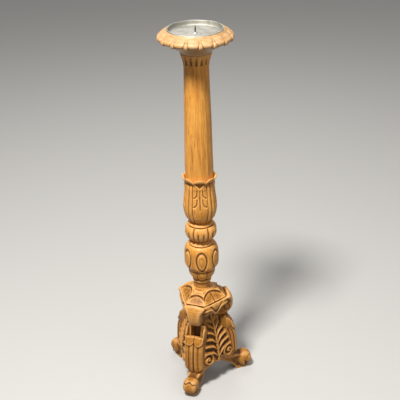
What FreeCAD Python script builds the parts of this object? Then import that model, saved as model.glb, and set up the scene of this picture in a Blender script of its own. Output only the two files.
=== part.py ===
"""A carved wooden floor candlestick on three scroll legs, with a loose metal drip pan and pricket.

The frame has +Z up and its origin on the stem's axis at floor level. The front leg points
along -Y, the right leg along 30 degrees and the left leg along 150 degrees. Sizes are in
millimetres. Each turned or carved section is its own piece, joined by hardwood dowels.
"""
import FreeCAD, Part
import math
import operator
import os

import Sketcher

# Driving dimensions. Heights inside a section are measured from that section's own foot.
SIZES = {
    # Feet: a wedge under each leg that ends in a rolled toe.
    "foot_height": 46,
    "foot_width": 44,
    "foot_inner": 34,
    "foot_arch": 28,
    "sole_inner": 80,
    "sole_outer": 113,
    "toe_reach": 106,
    "toe_height": 26,
    "toe_radius": 22,
    # Legs: brackets on the core's cut corners, with a knee above and a scroll below.
    "leg_width": 50,
    "leg_height": 120,
    "leg_seat": 66,
    "leg_reach": 86,
    "calf_low": 29,
    "calf_high": 72,
    "knee_reach": 66,
    "knee_height": 111,
    # Pedestal core: a three sided block with its corners cut off.
    "core_height": 149,
    "core_side": 28,
    "core_corner": 42,
    # Leaf panels: boards on the core's sides that flare towards the floor, carved with a stem,
    # ribs that spring from it on both sides, and a scroll in each lower corner.
    "panel_bottom": 62,
    "panel_top": 34,
    "rib_height": 5,
    "rib_height_top": 2,
    "rib_count": 5,
    "rib_pitch": 19,
    "rib_start": 26,
    "rib_rise": 24,
    "rib_reach": 44,
    "rib_width": 6,
    "stem_width": 8,
    "scroll_place": 35,
    "scroll_height": 32,
    "scroll_radius": 14,
    "scroll_band": 4.5,
    "scroll_eye": 4.5,
    # Base cap: a three armed block with a volute at the end of each arm.
    "cap_height": 72,
    "cap_side_low": 40,
    "cap_side_high": 33,
    "cap_corner": 44,
    "arm_width": 46,
    "volute_reach": 53,
    "volute_radius": 23,
    "plate_reach": 44,
    "plate_edge": 6,
    # Baluster: a neck, a lip, a belly with oval bosses and a ring on top.
    "baluster_height": 137,
    "neck_radius": 21,
    "neck_height": 19,
    "lip_height": 9,
    "waist_radius": 21.5,
    "hip_radius": 32.5,
    "hip_height": 51,
    "belly_radius": 42.4,
    "belly_low": 72,
    "belly_high": 113,
    "shoulder_radius": 31,
    "shoulder_height": 131,
    "boss_count": 6,
    "boss_height": 94,
    "boss_half_width": 11.5,
    "boss_half_height": 24,
    "boss_sink": 6,
    "boss_proud": 1.6,
    # Rings on top of the baluster and of the knop, with a thin groove under each.
    "ring_radius": 26.5,
    "ring_height": 4.5,
    # Knop: a ball of six lobes on a short neck.
    "knop_height": 55,
    "knop_neck_radius": 22,
    "knop_neck_height": 6,
    "knop_radius": 39.4,
    "knop_shoulder_radius": 30.5,
    "knop_shoulder_height": 49.5,
    "lobe_count": 6,
    "lobe_groove_radius": 5,
    "lobe_groove_depth": 1.8,
    # Leaf calyx: a cup of leaves whose tips stand round the foot of the shaft.
    "calyx_height": 117,
    "calyx_foot_radius": 23,
    "calyx_belly_radius": 41.2,
    "calyx_belly_height": 46,
    "calyx_chest_radius": 38.4,
    "calyx_chest_height": 74,
    "calyx_waist_radius": 35.2,
    "calyx_waist_height": 102,
    "tip_radius": 39.6,
    "tip_height": 10,
    "tip_count": 8,
    "tip_notch_radius": 5,
    "socket_clearance": 0.2,
    # Shaft: a fluted column that tapers upwards and flares under the dish.
    "shaft_length": 317,
    "shaft_foot_radius": 34.2,
    "shaft_neck_radius": 28.4,
    "shaft_neck_height": 278,
    "shaft_head_radius": 39.5,
    "flute_count": 15,
    "flute_start": 18,
    "flute_low_radius": 6,
    "flute_high_radius": 5,
    "flute_depth": 0.9,
    # Dish: a shallow bowl with a lobed rim and a recess for the drip pan.
    "dish_height": 53,
    "dish_cove_radius": 57,
    "dish_cove_height": 9,
    "rim_low_radius": 84,
    "rim_low_height": 31,
    "rim_high_radius": 72,
    "rim_high_height": 51,
    "dish_radius": 87.4,
    "recess_depth": 9.5,
    "dart_count": 16,
    "dart_radius": 4.5,
    "dart_depth": 2.6,
    # Drip pan with its pricket: a spike riveted through the pan's floor and a soldered collar.
    "pan_radius": 63.5,
    "pan_depth": 13.5,
    "pan_wall": 1.2,
    "pan_corner": 4,
    "pan_bead_radius": 1.7,
    "pan_clearance": 0.4,
    "spike_radius": 1.8,
    "spike_shank": 9,
    "spike_point": 6,
    "spike_tip_radius": 0.3,
    "rivet_radius": 2.4,
    "rivet_head_radius": 5,
    "rivet_head_height": 2,
    "rivet_clearance": 0.1,
    "head_clearance": 1,
    "collar_radius": 7,
    "collar_height": 3,
    # Dowels: glued into bores that are a little wider and deeper than they are.
    "glue_gap": 0.1,
    "end_gap": 0.8,
    "dish_dowel_radius": 10,
    "dish_dowel_up": 26,
    "dish_dowel_down": 36,
    "shaft_dowel_radius": 12,
    "shaft_dowel_up": 40,
    "shaft_dowel_down": 45,
    "stem_dowel_radius": 11,
    "stem_dowel_up": 40,
    "stem_dowel_down": 45,
    "base_dowel_radius": 9,
    "base_dowel_up": 40,
    "base_dowel_down": 50,
    "cap_pin_radius": 4,
    "cap_pin_place": 27,
    "cap_pin_half": 20,
    "leg_pin_radius": 4,
    "leg_pin_half": 14,
    "leg_pin_low": 36,
    "leg_pin_high": 88,
    "foot_pin_radius": 4.5,
    "foot_pin_place": 57,
    "foot_pin_up": 24,
    "foot_pin_down": 14,
}

LEG_ANGLES = {"front": -90, "right": 30, "left": 150}
PANEL_ANGLES = {"right": -30, "rear": 90, "left": 210}
STEM_TURN = -70  # the way that the stem's first leaf and first boss face
DISH_TURN = -62.6  # the way that the dish's first dart faces
THIRD = 120  # degrees between legs
PANEL_BEND = 17  # degrees that a panel's face turns through from its foot to its head
RIB_BEND = 60  # degrees that a rib turns through as it leaves the stem and levels out
SIN60 = math.sin(math.radians(60))
COS60 = 0.5
OPERATIONS = {"+": operator.add, "-": operator.sub, "*": operator.mul, "/": operator.truediv}

os.makedirs("parts", exist_ok=True)
doc = FreeCAD.newDocument("floor_candlestick")
sheet = doc.addObject("Spreadsheet::Sheet", "Sizes")
for row, (name, value) in enumerate(SIZES.items(), start=1):
    sheet.set(f"A{row}", name)
    sheet.set(f"B{row}", str(value))
    sheet.setAlias(f"B{row}", name)
doc.recompute()
parts = []


class Length:
    """A size together with the sheet expression that gives it."""

    def __init__(self, value, text):
        self.value = value
        self.text = text

    def __add__(self, other):
        return combine(self, "+", other)

    def __sub__(self, other):
        return combine(self, "-", other)

    def __rsub__(self, other):
        return combine(other, "-", self)

    def __mul__(self, other):
        return combine(self, "*", other)

    def __truediv__(self, other):
        return combine(self, "/", other)


def as_length(number):
    """A plain number as a Length, and a Length as it is."""
    if isinstance(number, Length):
        return number
    return Length(float(number), repr(float(number)))


def combine(first, sign, second):
    """The Length that two sizes give with +, -, * or /."""
    first = as_length(first)
    second = as_length(second)
    value = OPERATIONS[sign](first.value, second.value)
    return Length(value, f"({first.text} {sign} {second.text})")


def size(name):
    """The driving dimension of this name."""
    return Length(float(SIZES[name]), f"Sizes.{name}")


def sizes(*names):
    """Several driving dimensions at once."""
    return [size(name) for name in names]


def origin_feature(body, role):
    """The body's own plane or axis with this role."""
    return next(f for f in body.Origin.OriginFeatures if f.Role == role)


def new_sketch(body, role, name, offset=None):
    """A sketch on one of the body's planes, moved along its normal by offset."""
    sketch = body.newObject("Sketcher::SketchObject", f"{body.Name}_{name}")
    sketch.AttachmentSupport = [(origin_feature(body, role), "")]
    sketch.MapMode = "FlatFace"
    if offset is not None:
        sketch.setExpression("AttachmentOffset.Base.z", as_length(offset).text)
    return sketch


def hold_point(sketch, geometry, end, across, up):
    """Ties one point of the sketch to its distances from the axes."""
    for kind, distance, axis in (("DistanceX", across, -2), ("DistanceY", up, -1)):
        distance = as_length(distance)
        if distance.text == "0.0":
            sketch.addConstraint(Sketcher.Constraint("PointOnObject", geometry, end, axis))
            continue
        rule = Sketcher.Constraint(kind, -1, 1, geometry, end, distance.value)
        number = sketch.addConstraint(rule)
        sketch.setExpression(f"Constraints[{number}]", distance.text)


def arc_between(start, end, turn):
    """The arc from start to end that turns by this many degrees, anticlockwise if positive."""
    half = math.radians(abs(turn)) / 2
    chord = end - start
    side = 1 if turn > 0 else -1
    normal = FreeCAD.Vector(-chord.y, chord.x, 0) * side
    centre = (start + end) * 0.5 + normal * (0.5 / math.tan(half))
    first = start if turn > 0 else end
    angle = math.atan2(first.y - centre.y, first.x - centre.x)
    circle = Part.Circle(centre, FreeCAD.Vector(0, 0, 1), (start - centre).Length)
    return Part.ArcOfCircle(circle, angle, angle + 2 * half)


def draw_outline(sketch, corners):
    """Draws a closed outline. A corner is (across, up) or (across, up, turn of the arc after it)."""
    points = [FreeCAD.Vector(as_length(c[0]).value, as_length(c[1]).value, 0) for c in corners]
    edges = []
    for corner, start, end in zip(corners, points, points[1:] + points[:1]):
        turn = corner[2] if len(corner) > 2 else 0
        edge = arc_between(start, end, turn) if turn else Part.LineSegment(start, end)
        edges.append((sketch.addGeometry(edge), 2 if turn < 0 else 1, turn))
    for corner, this, last in zip(corners, edges, edges[-1:] + edges[:-1]):
        number, start_end, turn = this
        rule = Sketcher.Constraint("Coincident", last[0], 3 - last[1], number, start_end)
        sketch.addConstraint(rule)
        hold_point(sketch, number, start_end, corner[0], corner[1])
        if turn:
            sketch.addConstraint(Sketcher.Constraint("Angle", number, math.radians(abs(turn))))


def draw_circle(sketch, across, up, radius):
    """Draws a circle with its centre held and its radius tied to a size."""
    radius = as_length(radius)
    centre = FreeCAD.Vector(as_length(across).value, as_length(up).value, 0)
    number = sketch.addGeometry(Part.Circle(centre, FreeCAD.Vector(0, 0, 1), radius.value))
    hold_point(sketch, number, 3, across, up)
    rule = sketch.addConstraint(Sketcher.Constraint("Radius", number, radius.value))
    sketch.setExpression(f"Constraints[{rule}]", radius.text)


def new_body(name, height=0, angle=0):
    """A sub-part's body, lifted to its height and turned about the stem's axis."""
    body = doc.addObject("PartDesign::Body", name)
    body.Label = name
    turn = FreeCAD.Rotation(FreeCAD.Vector(0, 0, 1), angle)
    body.Placement = FreeCAD.Placement(FreeCAD.Vector(0, 0, 0), turn)
    body.setExpression("Placement.Base.z", as_length(height).text)
    parts.append(body)
    return body


def revolve(body, name, corners):
    """Turns an outline about the stem's axis."""
    sketch = new_sketch(body, "XZ_Plane", f"{name}_outline")
    draw_outline(sketch, corners)
    feature = body.newObject("PartDesign::Revolution", f"{body.Name}_{name}")
    feature.Profile = sketch
    feature.ReferenceAxis = (sketch, ["V_Axis"])
    feature.Angle = 360
    return feature


def extrude(body, kind, name, sketch, length=None, symmetric=False, reverse=False):
    """A Pad or a Pocket of a sketch. With no length, a Pocket cuts through all."""
    feature = body.newObject(f"PartDesign::{kind}", f"{body.Name}_{name}")
    feature.Profile = sketch
    feature.SideType = "Symmetric" if symmetric else "One side"
    feature.Reversed = reverse
    if length is None:
        feature.Type = "ThroughAll"
    else:
        feature.setExpression("Length", as_length(length).text)
    return feature


def bore(body, name, radius, depth, across=0, up=0, start=0, role="XY_Plane", forward=True):
    """A round blind bore from a plane of the body, along the plane's normal if forward."""
    sketch = new_sketch(body, role, f"{name}_circle", start)
    draw_circle(sketch, across, up, radius)
    return extrude(body, "Pocket", name, sketch, depth, reverse=forward)


def repeat(body, name, features, count):
    """Repeats features round the stem's axis."""
    pattern = body.newObject("PartDesign::PolarPattern", f"{body.Name}_{name}")
    pattern.Originals = features
    pattern.Axis = (origin_feature(body, "Z_Axis"), [""])
    pattern.Angle = 360
    pattern.setExpression("Occurrences", as_length(count).text)
    body.Tip = pattern
    return pattern


def dowel(name, radius, length, low, across=0, angle=0, lying=False):
    """A round dowel, upright with its lower end at low, or lying along a leg's direction."""
    pin = doc.addObject("Part::Cylinder", name)
    pin.setExpression("Radius", as_length(radius).text)
    pin.setExpression("Height", as_length(length).text)
    way = FreeCAD.Vector(math.cos(math.radians(angle)), math.sin(math.radians(angle)), 0)
    if lying:
        turn = FreeCAD.Rotation(FreeCAD.Vector(0, 0, 1), way)
        pin.Placement = FreeCAD.Placement(FreeCAD.Vector(0, 0, 0), turn)
    pin.setExpression("Placement.Base.x", (as_length(across) * way.x).text)
    pin.setExpression("Placement.Base.y", (as_length(across) * way.y).text)
    pin.setExpression("Placement.Base.z", as_length(low).text)
    return pin


def group(name, pins):
    """One sub-part that holds several separate pins."""
    compound = doc.addObject("Part::Compound", name)
    compound.Label = name
    compound.Links = pins
    parts.append(compound)


def hexagon(side, corner):
    """A triangle's plan with cut corners: sides and corner flats at these distances from the axis."""
    half = (side - corner * COS60) / SIN60
    points = []
    for angle in (0, THIRD, 2 * THIRD):
        cos = math.cos(math.radians(angle))
        sin = math.sin(math.radians(angle))
        for sign in (-1, 1):
            across = corner * cos - half * (sign * sin)
            up = corner * sin + half * (sign * cos)
            points.append((across, up))
    return points


GLUE, END = sizes("glue_gap", "end_gap")
CORE_FOOT = size("foot_height")
CAP_FOOT = CORE_FOOT + size("core_height")
BALUSTER_FOOT = CAP_FOOT + size("cap_height")
KNOP_FOOT = BALUSTER_FOOT + size("baluster_height")
CALYX_FOOT = KNOP_FOOT + size("knop_height")
SHAFT_FOOT = CALYX_FOOT + size("calyx_height")
DISH_FOOT = SHAFT_FOOT + size("shaft_length")
PAN_FOOT = DISH_FOOT + size("dish_height") - size("recess_depth")
COLLAR_FOOT = PAN_FOOT + size("pan_wall")


def make_foot(name, angle):
    """A wedge from under the core to the floor, ending in a rolled toe with a round plan."""
    body = new_body(name, 0, angle)
    height, width, inner, arch = sizes("foot_height", "foot_width", "foot_inner", "foot_arch")
    reach, toe_height, toe_radius = sizes("toe_reach", "toe_height", "toe_radius")
    sketch = new_sketch(body, "XZ_Plane", "wedge_outline")
    sole_inner, sole_outer = sizes("sole_inner", "sole_outer")
    draw_outline(
        sketch,
        [
            (inner, height),
            (inner, arch, -40),
            (sole_inner, 0),
            (sole_outer, 0),
            (reach, toe_height),
            (reach - toe_radius * COS60, height),
        ],
    )
    extrude(body, "Pad", "wedge", sketch, width, symmetric=True)
    sketch = new_sketch(body, "XZ_Plane", "toe_circle")
    draw_circle(sketch, reach, toe_height, toe_radius)
    extrude(body, "Pad", "toe", sketch, width, symmetric=True)
    sketch = new_sketch(body, "XY_Plane", "plan")
    half = width / 2
    beyond = reach + toe_radius * 2
    draw_outline(sketch, [(reach, half * -1, 180), (reach, half), (reach, width), (beyond, width),
                          (beyond, width * -1), (reach, width * -1)])
    extrude(body, "Pocket", "round_end", sketch, reverse=True)
    pin, place, down = sizes("foot_pin_radius", "foot_pin_place", "foot_pin_down")
    bore(body, "pin_bore", pin + GLUE, down + END, place, 0, height, forward=False)


def make_leg(name, angle):
    """A bracket with a flat back on the core's cut corner, a knee above and a scroll below."""
    body = new_body(name, CORE_FOOT, angle)
    back, width, height = sizes("core_corner", "leg_width", "leg_height")
    reach, low, high = sizes("leg_reach", "calf_low", "calf_high")
    sketch = new_sketch(body, "XZ_Plane", "side_outline")
    draw_outline(
        sketch,
        [
            (back, 0),
            (size("leg_seat"), 0, 75),
            (reach, low),
            (reach, high, 60),
            (size("knee_reach"), size("knee_height"), 25),
            (back, height),
        ],
    )
    extrude(body, "Pad", "bracket", sketch, width, symmetric=True)
    pin, half = sizes("leg_pin_radius", "leg_pin_half")
    for spot in ("low", "high"):
        bore(body, f"{spot}_bore", pin + GLUE, half + END, 0, size(f"leg_pin_{spot}"), back, "YZ_Plane")
    pin, place, up = sizes("foot_pin_radius", "foot_pin_place", "foot_pin_up")
    bore(body, "foot_bore", pin + GLUE, up + END, place)


def make_core():
    """The solid block in the middle of the pedestal, with bores for every dowel that meets it."""
    body = new_body("pedestal_core", CORE_FOOT, LEG_ANGLES["right"])
    height, corner = sizes("core_height", "core_corner")
    sketch = new_sketch(body, "XY_Plane", "plan")
    draw_outline(sketch, hexagon(size("core_side"), corner))
    extrude(body, "Pad", "block", sketch, height)
    radius, down = sizes("base_dowel_radius", "base_dowel_down")
    bore(body, "centre_bore", radius + GLUE, down + END, start=height, forward=False)
    pin, place, half = sizes("cap_pin_radius", "cap_pin_place", "cap_pin_half")
    cuts = [bore(body, "cap_bore", pin + GLUE, half + END, place, 0, height, forward=False)]
    pin, half = sizes("leg_pin_radius", "leg_pin_half")
    for spot in ("low", "high"):
        up = size(f"leg_pin_{spot}")
        cut = bore(body, f"{spot}_bore", pin + GLUE, half + END, 0, up, corner, "YZ_Plane", False)
        cuts.append(cut)
    repeat(body, "bores", cuts, len(LEG_ANGLES))


def carve_panel(body):
    """A stem, ribs and scrolls that stand on the board and reach through the height of its face."""
    side, bottom, height = sizes("core_side", "panel_bottom", "core_height")
    depth = bottom - side
    half = size("stem_width") / 2
    sketch = new_sketch(body, "YZ_Plane", "stem_outline", side)
    draw_outline(sketch, [(half * -1, 0), (half, 0), (half, height), (half * -1, height)])
    extrude(body, "Pad", "stem", sketch, depth)
    reach, width = sizes("rib_reach", "rib_width")
    place, up = sizes("scroll_place", "scroll_height")
    radius, band, eye = sizes("scroll_radius", "scroll_band", "scroll_eye")
    root = half / 2
    for sign, label in ((1, "left"), (-1, "right")):
        ribs = new_sketch(body, "YZ_Plane", f"{label}_rib_outlines", side)
        for number in range(SIZES["rib_count"]):
            low = size("rib_start") + size("rib_pitch") * number
            high = low + size("rib_rise")
            draw_outline(
                ribs,
                [
                    (root * sign, low, -RIB_BEND * sign),
                    (reach * sign, high),
                    (reach * sign, high + width, RIB_BEND * sign),
                    (root * sign, low + width),
                ],
            )
        extrude(body, "Pad", f"{label}_ribs", ribs, depth)
        scroll = new_sketch(body, "YZ_Plane", f"{label}_scroll_circles", side)
        for circle in (radius, radius - band, eye):
            draw_circle(scroll, place * sign, up, circle)
        extrude(body, "Pad", f"{label}_scroll", scroll, depth)


def make_panel(name, angle):
    """A carved board on one side of the core. It flares to the floor and its ends are cut round the legs."""
    body = new_body(name, CORE_FOOT, angle)
    side, corner = sizes("core_side", "core_corner")
    bottom, top, height = sizes("panel_bottom", "panel_top", "core_height")
    half = size("leg_width") / 2
    wide = (bottom + half) * 2
    sketch = new_sketch(body, "XZ_Plane", "side_outline")
    ground = [(bottom - size("rib_height"), 0, PANEL_BEND), (top - size("rib_height_top"), height)]
    draw_outline(sketch, [(side, 0)] + ground + [(side, height)])
    extrude(body, "Pad", "board", sketch, wide * 2, symmetric=True)
    carve_panel(body)
    sketch = new_sketch(body, "XZ_Plane", "face_outline")
    draw_outline(sketch, [(bottom, 0, PANEL_BEND), (top, height), (wide, height), (wide, 0)])
    extrude(body, "Pocket", "face", sketch, wide * 2, symmetric=True)
    waist_across = corner * COS60 + half * SIN60
    waist_up = corner * SIN60 - half * COS60
    mitre_up = waist_up + waist_across * (COS60 / SIN60)
    flank_up = waist_up + (wide - waist_across) * (SIN60 / COS60)
    limit = flank_up + wide
    for sign, label in ((1, "left_end"), (-1, "right_end")):
        sketch = new_sketch(body, "XY_Plane", f"{label}_plan")
        ends = [(0, mitre_up * sign), (waist_across, waist_up * sign), (wide, flank_up * sign)]
        draw_outline(sketch, ends + [(wide, limit * sign), (0, limit * sign)])
        extrude(body, "Pocket", label, sketch, reverse=True)


def make_cap():
    """A three armed block: a plate on top, a volute at each arm's end and sloping sides between."""
    body = new_body("base_cap", CAP_FOOT, LEG_ANGLES["right"])
    height, corner, width = sizes("cap_height", "cap_corner", "arm_width")
    low = new_sketch(body, "XY_Plane", "low_plan")
    draw_outline(low, hexagon(size("cap_side_low"), corner))
    high = new_sketch(body, "XY_Plane", "high_plan", height)
    draw_outline(high, hexagon(size("cap_side_high"), corner))
    block = body.newObject("PartDesign::AdditiveLoft", "base_cap_block")
    block.Profile = low
    block.Sections = [high]
    block.Ruled = True
    reach, radius = sizes("volute_reach", "volute_radius")
    plate, edge = sizes("plate_reach", "plate_edge")
    sketch = new_sketch(body, "XZ_Plane", "arm_outline")
    draw_outline(
        sketch,
        [
            (0, 0),
            (reach, 0, 150),
            (reach + radius * COS60, radius * (1 + SIN60), 60),
            (plate, height - edge),
            (plate, height),
            (0, height),
        ],
    )
    arm = extrude(body, "Pad", "arm", sketch, width, symmetric=True)
    repeat(body, "arms", [arm], len(LEG_ANGLES))
    bore(body, "centre_bore", size("base_dowel_radius") + GLUE, height)
    pin, place, half = sizes("cap_pin_radius", "cap_pin_place", "cap_pin_half")
    cut = bore(body, "pin_bore", pin + GLUE, half + END, place)
    repeat(body, "pin_bores", [cut], len(LEG_ANGLES))


def make_baluster():
    """The lowest turned section: a neck and lip, a belly with oval bosses, and a ring on top."""
    body = new_body("baluster", BALUSTER_FOOT, STEM_TURN)
    height, neck, neck_height = sizes("baluster_height", "neck_radius", "neck_height")
    lip, waist, hip, hip_height = sizes("lip_height", "waist_radius", "hip_radius", "hip_height")
    belly, low, high = sizes("belly_radius", "belly_low", "belly_high")
    shoulder, shoulder_height = sizes("shoulder_radius", "shoulder_height")
    ring, ring_height = sizes("ring_radius", "ring_height")
    revolve(
        body,
        "turning",
        [
            (0, 0),
            (neck, 0),
            (neck, neck_height, 130),
            (waist, neck_height + lip, 40),
            (hip, hip_height, -30),
            (belly, low),
            (belly, high, 55),
            (shoulder, shoulder_height),
            (ring, shoulder_height),
            (ring, height - ring_height, 160),
            (ring, height),
            (0, height),
        ],
    )
    boss = body.newObject("PartDesign::AdditiveEllipsoid", "baluster_boss")
    boss.AttachmentSupport = [(origin_feature(body, "XY_Plane"), "")]
    boss.MapMode = "FlatFace"
    sink, proud = sizes("boss_sink", "boss_proud")
    boss.setExpression("Radius1", size("boss_half_height").text)
    boss.setExpression("Radius2", (sink + proud).text)
    boss.setExpression("Radius3", size("boss_half_width").text)
    boss.setExpression("AttachmentOffset.Base.x", (belly - sink).text)
    boss.setExpression("AttachmentOffset.Base.z", size("boss_height").text)
    repeat(body, "bosses", [boss], size("boss_count"))
    radius, up = sizes("base_dowel_radius", "base_dowel_up")
    bore(body, "low_bore", radius + GLUE, up + END)
    radius, down = sizes("stem_dowel_radius", "stem_dowel_down")
    bore(body, "high_bore", radius + GLUE, down + END, start=height, forward=False)


def make_knop():
    """A ball of lobes on a short neck, with a ring on top and a bore right through."""
    body = new_body("knop", KNOP_FOOT, STEM_TURN)
    height, neck, neck_height = sizes("knop_height", "knop_neck_radius", "knop_neck_height")
    radius, shoulder, shoulder_height = sizes("knop_radius", "knop_shoulder_radius", "knop_shoulder_height")
    ring, ring_height = sizes("ring_radius", "ring_height")
    middle = (neck_height + shoulder_height) / 2
    revolve(
        body,
        "turning",
        [
            (0, 0),
            (neck, 0),
            (neck, neck_height, 60),
            (radius, middle, 60),
            (shoulder, shoulder_height),
            (ring, shoulder_height),
            (ring, height - ring_height, 160),
            (ring, height),
            (0, height),
        ],
    )
    sketch = new_sketch(body, "XY_Plane", "groove_circle")
    groove, depth = sizes("lobe_groove_radius", "lobe_groove_depth")
    half_step = math.radians(180 / SIZES["lobe_count"])
    centre = radius + groove - depth
    draw_circle(sketch, centre * math.cos(half_step), centre * math.sin(half_step), groove)
    cut = extrude(body, "Pocket", "groove", sketch, reverse=True)
    repeat(body, "lobes", [cut], size("lobe_count"))
    bore(body, "centre_bore", size("stem_dowel_radius") + GLUE, height)


def make_calyx():
    """A cup of leaves. The leaf tips stand as a notched collar round the shaft's foot."""
    half_step = 180 / SIZES["tip_count"]  # turns a tip, not a notch, to the stem's front
    body = new_body("leaf_calyx", CALYX_FOOT, STEM_TURN + half_step)
    height, tip, tip_height = sizes("calyx_height", "tip_radius", "tip_height")
    socket = size("shaft_foot_radius") + size("socket_clearance")
    rim = height + tip_height
    round_over = (tip - socket) / 2
    revolve(
        body,
        "turning",
        [
            (0, 0),
            (size("calyx_foot_radius"), 0, 62),
            (size("calyx_belly_radius"), size("calyx_belly_height"), 12),
            (size("calyx_chest_radius"), size("calyx_chest_height"), -10),
            (size("calyx_waist_radius"), size("calyx_waist_height"), -20),
            (tip, rim - round_over, 90),
            (tip - round_over, rim),
            (socket, rim),
            (socket, height),
            (0, height),
        ],
    )
    sketch = new_sketch(body, "YZ_Plane", "notch_circle")
    notch = size("tip_notch_radius")
    draw_circle(sketch, 0, rim + notch * COS60, notch)
    cut = extrude(body, "Pocket", "notch", sketch, tip * 2, reverse=True)
    repeat(body, "tips", [cut], size("tip_count"))
    radius, up = sizes("stem_dowel_radius", "stem_dowel_up")
    bore(body, "low_bore", radius + GLUE, up + END)
    radius, down = sizes("shaft_dowel_radius", "shaft_dowel_down")
    bore(body, "high_bore", radius + GLUE, down + END, start=height, forward=False)


def make_shaft():
    """The fluted column, which tapers upwards and flares under the dish."""
    body = new_body("column_shaft", SHAFT_FOOT, STEM_TURN)
    length, foot, neck = sizes("shaft_length", "shaft_foot_radius", "shaft_neck_radius")
    neck_height, head = sizes("shaft_neck_height", "shaft_head_radius")
    revolve(
        body,
        "turning",
        [(0, 0), (foot, 0, 3), (neck, neck_height, -35), (head, length), (0, length)],
    )
    start, depth = sizes("flute_start", "flute_depth")
    sketches = []
    for place, surface, cutter in (
        (start, foot, size("flute_low_radius")),
        (neck_height, neck, size("flute_high_radius")),
    ):
        sketch = new_sketch(body, "XY_Plane", f"flute_circle_{len(sketches)}", place)
        draw_circle(sketch, surface + cutter - depth, 0, cutter)
        sketches.append(sketch)
    flute = body.newObject("PartDesign::SubtractiveLoft", "column_shaft_flute")
    flute.Profile = sketches[0]
    flute.Sections = sketches[1:]
    flute.Ruled = True
    repeat(body, "flutes", [flute], size("flute_count"))
    radius, up = sizes("shaft_dowel_radius", "shaft_dowel_up")
    bore(body, "low_bore", radius + GLUE, up + END)
    radius, down = sizes("dish_dowel_radius", "dish_dowel_down")
    bore(body, "high_bore", radius + GLUE, down + END, start=length, forward=False)


def make_dish():
    """A shallow bowl with a lobed rim. Its recess takes the drip pan and the rivet's head."""
    body = new_body("dish", DISH_FOOT, DISH_TURN)
    height, cove, cove_height = sizes("dish_height", "dish_cove_radius", "dish_cove_height")
    recess = size("pan_radius") + size("pan_clearance")
    floor = height - size("recess_depth")
    head = size("rivet_head_radius") + size("head_clearance")
    head_floor = floor - size("rivet_head_height") - size("head_clearance")
    revolve(
        body,
        "turning",
        [
            (0, 0),
            (size("shaft_head_radius"), 0, -8),
            (cove, cove_height, 22),
            (size("rim_low_radius"), size("rim_low_height"), 150),
            (size("rim_high_radius"), size("rim_high_height"), 25),
            (recess, height),
            (recess, floor),
            (head, floor),
            (head, head_floor),
            (0, head_floor),
        ],
    )
    sketch = new_sketch(body, "XY_Plane", "dart_circle")
    dart = size("dart_radius")
    draw_circle(sketch, size("dish_radius") + dart - size("dart_depth"), 0, dart)
    cut = extrude(body, "Pocket", "dart", sketch, reverse=True)
    repeat(body, "darts", [cut], size("dart_count"))
    radius, up = sizes("dish_dowel_radius", "dish_dowel_up")
    bore(body, "low_bore", radius + GLUE, up + END)


def make_pan():
    """The loose drip pan: a flat floor, an upright wall and a rolled bead along its edge."""
    body = new_body("drip_pan", PAN_FOOT)
    radius, depth, wall = sizes("pan_radius", "pan_depth", "pan_wall")
    corner, bead = sizes("pan_corner", "pan_bead_radius")
    hole = size("rivet_radius") + size("rivet_clearance")
    inner = radius - wall
    wall_top = depth - bead
    revolve(
        body,
        "turning",
        [
            (hole, 0),
            (radius - corner, 0, 90),
            (radius, corner),
            (radius, wall_top),
            (inner, wall_top),
            (inner, corner, -90),
            (radius - corner, wall),
            (hole, wall),
        ],
    )
    sketch = new_sketch(body, "XZ_Plane", "bead_circle")
    draw_circle(sketch, inner + bead, wall_top, bead)
    feature = body.newObject("PartDesign::Revolution", "drip_pan_bead")
    feature.Profile = sketch
    feature.ReferenceAxis = (sketch, ["V_Axis"])
    feature.Angle = 360


def make_pricket():
    """The spike for the candle, riveted under the pan's floor, and the collar round its foot."""
    body = new_body("pricket", PAN_FOOT)
    spike, shank, point, tip = sizes("spike_radius", "spike_shank", "spike_point", "spike_tip_radius")
    rivet, head, head_height = sizes("rivet_radius", "rivet_head_radius", "rivet_head_height")
    ledge = size("pan_wall") + size("collar_height")
    revolve(
        body,
        "turning",
        [
            (0, head_height * -1),
            (head, head_height * -1),
            (head, 0),
            (rivet, 0),
            (rivet, ledge),
            (spike, ledge),
            (spike, ledge + shank),
            (tip, ledge + shank + point),
            (0, ledge + shank + point),
        ],
    )
    body = new_body("pricket_collar", COLLAR_FOOT)
    hole = rivet + size("rivet_clearance")
    radius, height = sizes("collar_radius", "collar_height")
    revolve(body, "turning", [(hole, 0), (radius, 0), (radius, height / 2, 60), (hole, height)])


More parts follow.
